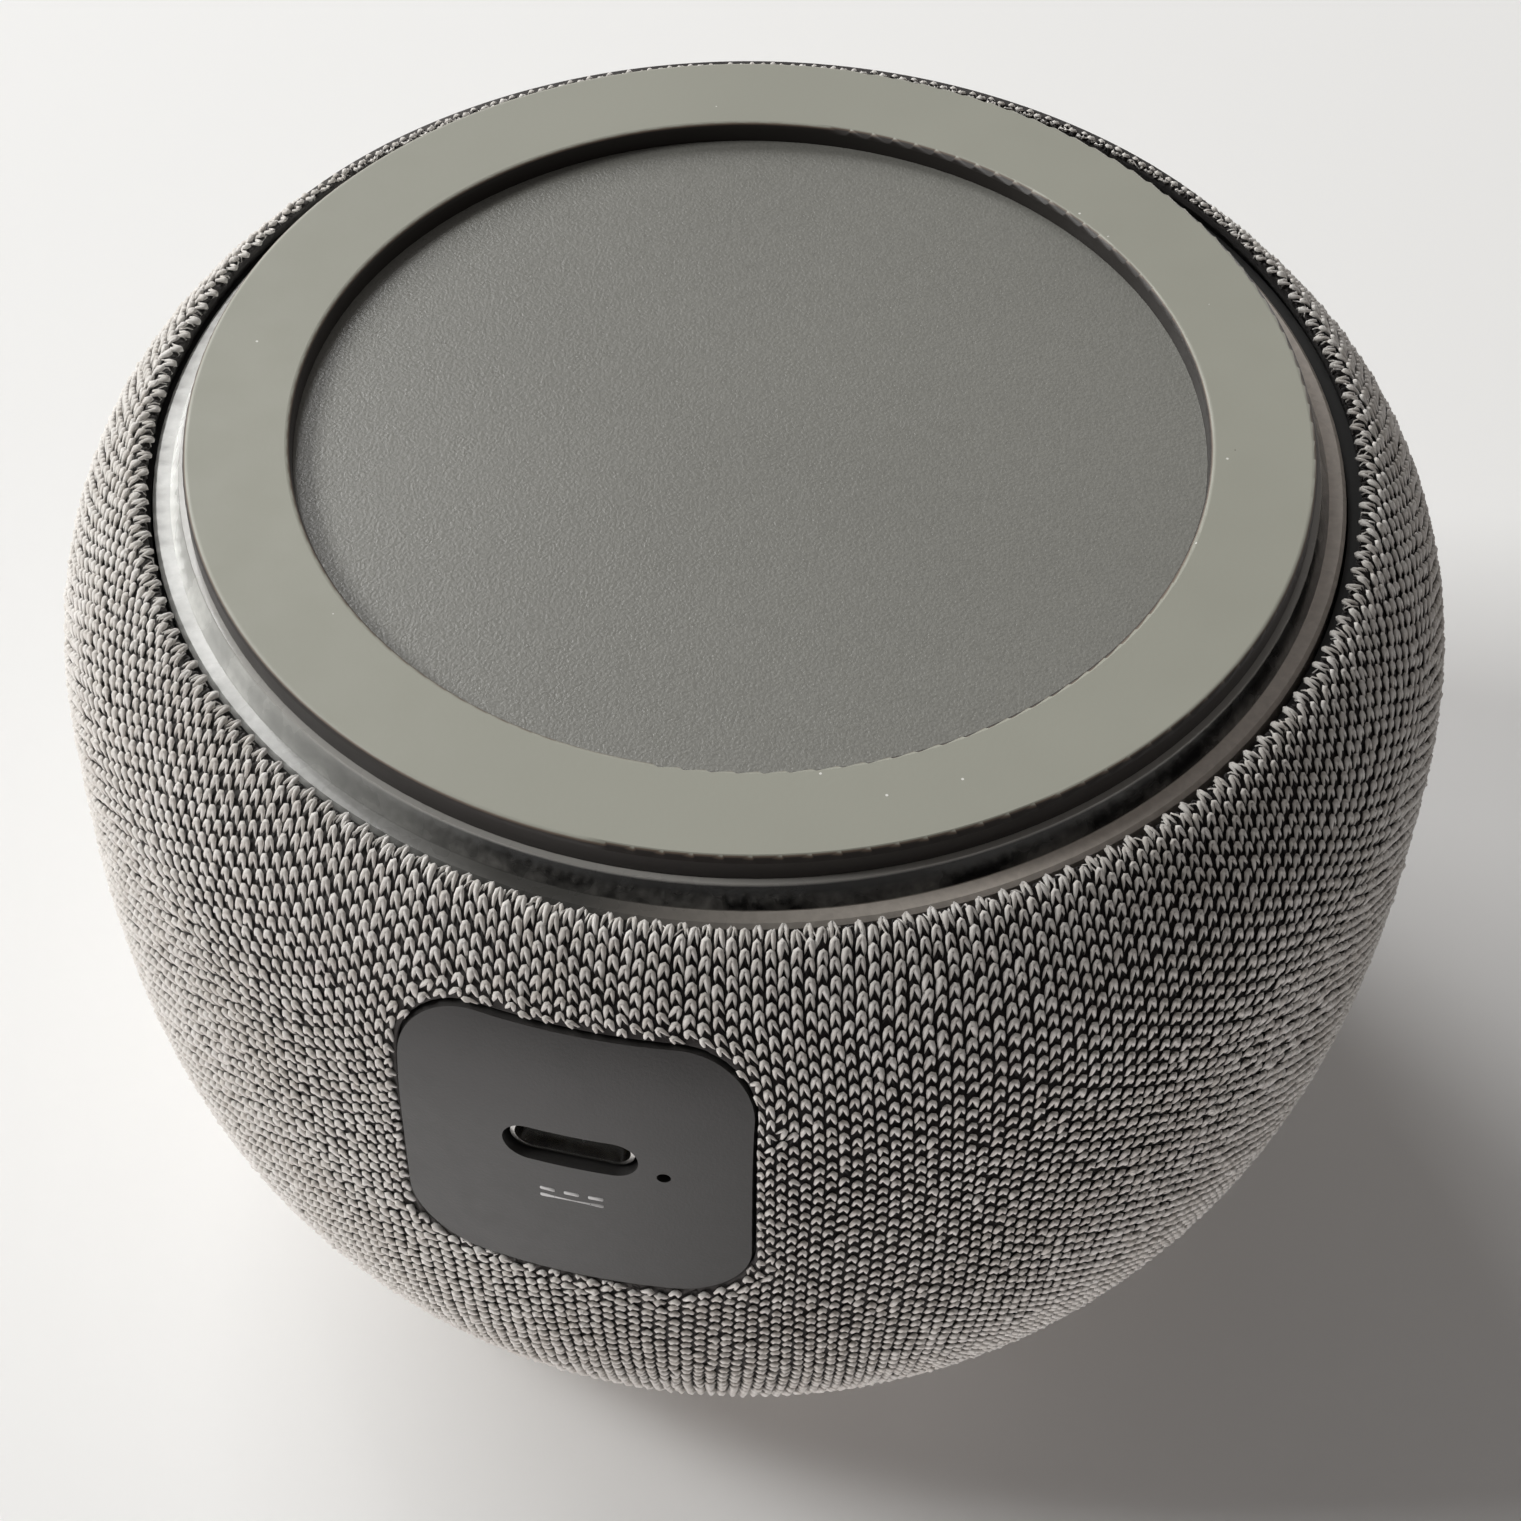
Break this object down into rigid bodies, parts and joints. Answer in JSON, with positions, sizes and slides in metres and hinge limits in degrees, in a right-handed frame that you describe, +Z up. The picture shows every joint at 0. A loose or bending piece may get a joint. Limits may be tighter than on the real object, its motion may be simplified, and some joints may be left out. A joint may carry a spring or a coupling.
{
  "type": "smart speaker",
  "caption": "Knit-covered round smart speaker with silicone ring foot, clear light ring, top press buttons, upward driver and rear USB-C power inlet.",
  "frame": {"origin": "centre of the silicone foot ring, on its contact face", "axes": "+Z up from the foot to the control panel, +Y out of the rear power inlet, so the front faces -Y"},
  "size_m": [0.106, 0.1058, 0.075],
  "materials": {
    "foot_silicone": "matte, smooth",
    "cover_plastic": "fine-textured",
    "clear_acrylic": "clear, frosted back",
    "knit_fabric": "two-tone bird's-eye knit",
    "port_plastic": "satin",
    "panel_plastic": "fine-textured",
    "button_plastic": "satin",
    "shell_plastic": "moulded",
    "chassis_plastic": "moulded",
    "chamber_plastic": "moulded",
    "circuit_board": "solder mask",
    "led_package": "moulded",
    "screw_steel": "zinc-plated",
    "usb_steel": "stamped",
    "black_polymer": "moulded",
    "gold_contact": "gold-plated",
    "shield_tin": "tinned",
    "chip_epoxy": "moulded epoxy",
    "capacitor_can": "drawn can",
    "basket_steel": "powder-coated",
    "gasket_foam": "closed-cell foam",
    "wire_jacket": "PVC",
    "ferrite": "sintered ferrite",
    "pole_steel": "zinc-plated",
    "coil_copper": "enamelled winding",
    "cone_paper": "pressed pulp",
    "surround_rubber": "butyl rubber",
    "spider_cloth": "resin-treated cloth",
    "ribbon_polyimide": "flat flexible cable"
  },
  "bodies": {
    "housing": {"foot_ring": "foot_silicone", "bottom_cover": "cover_plastic", "bottom_screws": "screw_steel", "light_ring": "clear_acrylic", "led_board": "circuit_board", "ring_leds": "led_package", "base_chassis": "chassis_plastic", "chassis_screws": "screw_steel", "grille_shell": "shell_plastic", "fabric_sleeve": "knit_fabric", "port_plate": "port_plastic", "usb_shell": "usb_steel", "usb_tongue": "black_polymer", "usb_contacts": "gold_contact", "main_board": "circuit_board", "board_screws": "screw_steel", "shield_can": "shield_tin", "board_chips": "chip_epoxy", "board_capacitors": "capacitor_can", "reset_switch": "black_polymer", "chamber_tub": "chamber_plastic", "chamber_baffle": "chamber_plastic", "lead_grommet": "gasket_foam", "speaker_leads": "wire_jacket", "lead_connector": "led_package", "driver_gasket": "gasket_foam", "driver_basket": "basket_steel", "driver_screws": "screw_steel", "magnet": "ferrite", "magnet_top_plate": "pole_steel", "magnet_yoke": "pole_steel", "surround": "surround_rubber", "spider": "spider_cloth", "top_tray": "chassis_plastic", "tray_screws": "screw_steel", "sound_deflector": "chamber_plastic", "button_board": "circuit_board", "button_board_screws": "screw_steel", "tact_switches": "black_polymer", "microphones": "shield_tin", "mic_gaskets": "gasket_foam", "top_panel": "panel_plastic", "ribbon_cable": "ribbon_polyimide", "ribbon_connectors": "led_package"},
    "driver_diaphragm": {"voice_coil": "coil_copper", "speaker_cone": "cone_paper", "dust_cap": "cone_paper"},
    "reset_actuator": {"reset_plunger": "led_package"},
    "action_key": {"action_button": "button_plastic", "action_plunger": "black_polymer"},
    "volume_up_key": {"volume_up_button": "button_plastic", "volume_up_plunger": "black_polymer"},
    "mic_mute_key": {"mic_mute_button": "button_plastic", "mic_mute_plunger": "black_polymer"},
    "volume_down_key": {"volume_down_button": "button_plastic", "volume_down_plunger": "black_polymer"}
  },
  "joints": [
    {"name": "diaphragm_travel", "type": "slide", "parent": "housing", "child": "driver_diaphragm", "axis": [0, 0, 1], "range_m": [-0.002, 0.002], "stiffness_N_per_m": 1500, "deforming": ["surround", "spider"]},
    {"name": "action_press", "type": "slide", "parent": "housing", "child": "action_key", "axis": [0, 0, -1], "range_m": [0, 0.0003], "stiffness_N_per_m": 4000},
    {"name": "volume_up_press", "type": "slide", "parent": "housing", "child": "volume_up_key", "axis": [0, 0, -1], "range_m": [0, 0.0003], "stiffness_N_per_m": 4000},
    {"name": "mic_mute_press", "type": "slide", "parent": "housing", "child": "mic_mute_key", "axis": [0, 0, -1], "range_m": [0, 0.0003], "stiffness_N_per_m": 4000},
    {"name": "volume_down_press", "type": "slide", "parent": "housing", "child": "volume_down_key", "axis": [0, 0, -1], "range_m": [0, 0.0003], "stiffness_N_per_m": 4000},
    {"name": "reset_press", "type": "slide", "parent": "housing", "child": "reset_actuator", "axis": [0, -1, 0], "range_m": [0, 0.00025], "stiffness_N_per_m": 4000}
  ]
}
